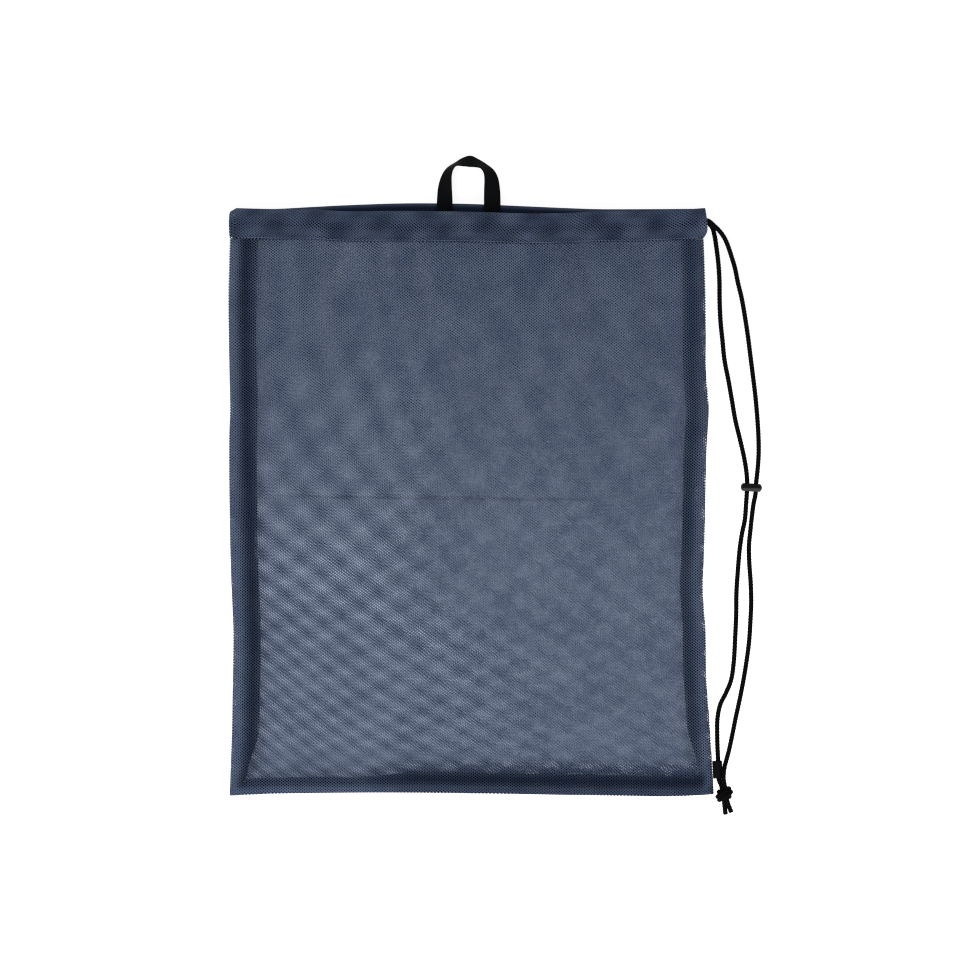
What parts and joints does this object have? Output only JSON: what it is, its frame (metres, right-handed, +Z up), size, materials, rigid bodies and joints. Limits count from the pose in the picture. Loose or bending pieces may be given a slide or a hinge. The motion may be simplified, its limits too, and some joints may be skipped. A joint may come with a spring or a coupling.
{
  "type": "mesh swim bag",
  "caption": "Flat drawstring bag of navy mesh cloth, lying flat, with a hemmed mouth, a black drawcord with a bead and a knot, a side tab and a hang loop.",
  "frame": {"origin": "middle of the underside of the back panel, on the surface that the bag lies on", "axes": "+Z up, +Y from the bottom seam to the mouth, +X across the bag towards the drawcord"},
  "size_m": [0.5073, 0.6273, 0.0226],
  "materials": {
    "mesh_cloth": "open navy mesh, two plies over a pale surface",
    "folded_mesh": "folded and stitched navy mesh, darker where plies lie on each other",
    "black_webbing": "ribbed black webbing with a dull sheen",
    "black_cord": "braided black cord",
    "grey_plastic": "dark grey satin plastic"
  },
  "bodies": {
    "root": {"back_panel": "mesh_cloth", "front_panel": "mesh_cloth", "hem_channel": "folded_mesh", "left_seam": "folded_mesh", "right_seam": "folded_mesh", "bottom_seam": "folded_mesh", "hang_loop": "black_webbing", "side_tab": "black_webbing", "cord_in_hem": "black_cord", "cord_inner": "black_cord", "cord_outer": "black_cord", "cord_bead": "grey_plastic", "cord_knot": "black_cord"}
  },
  "joints": []
}
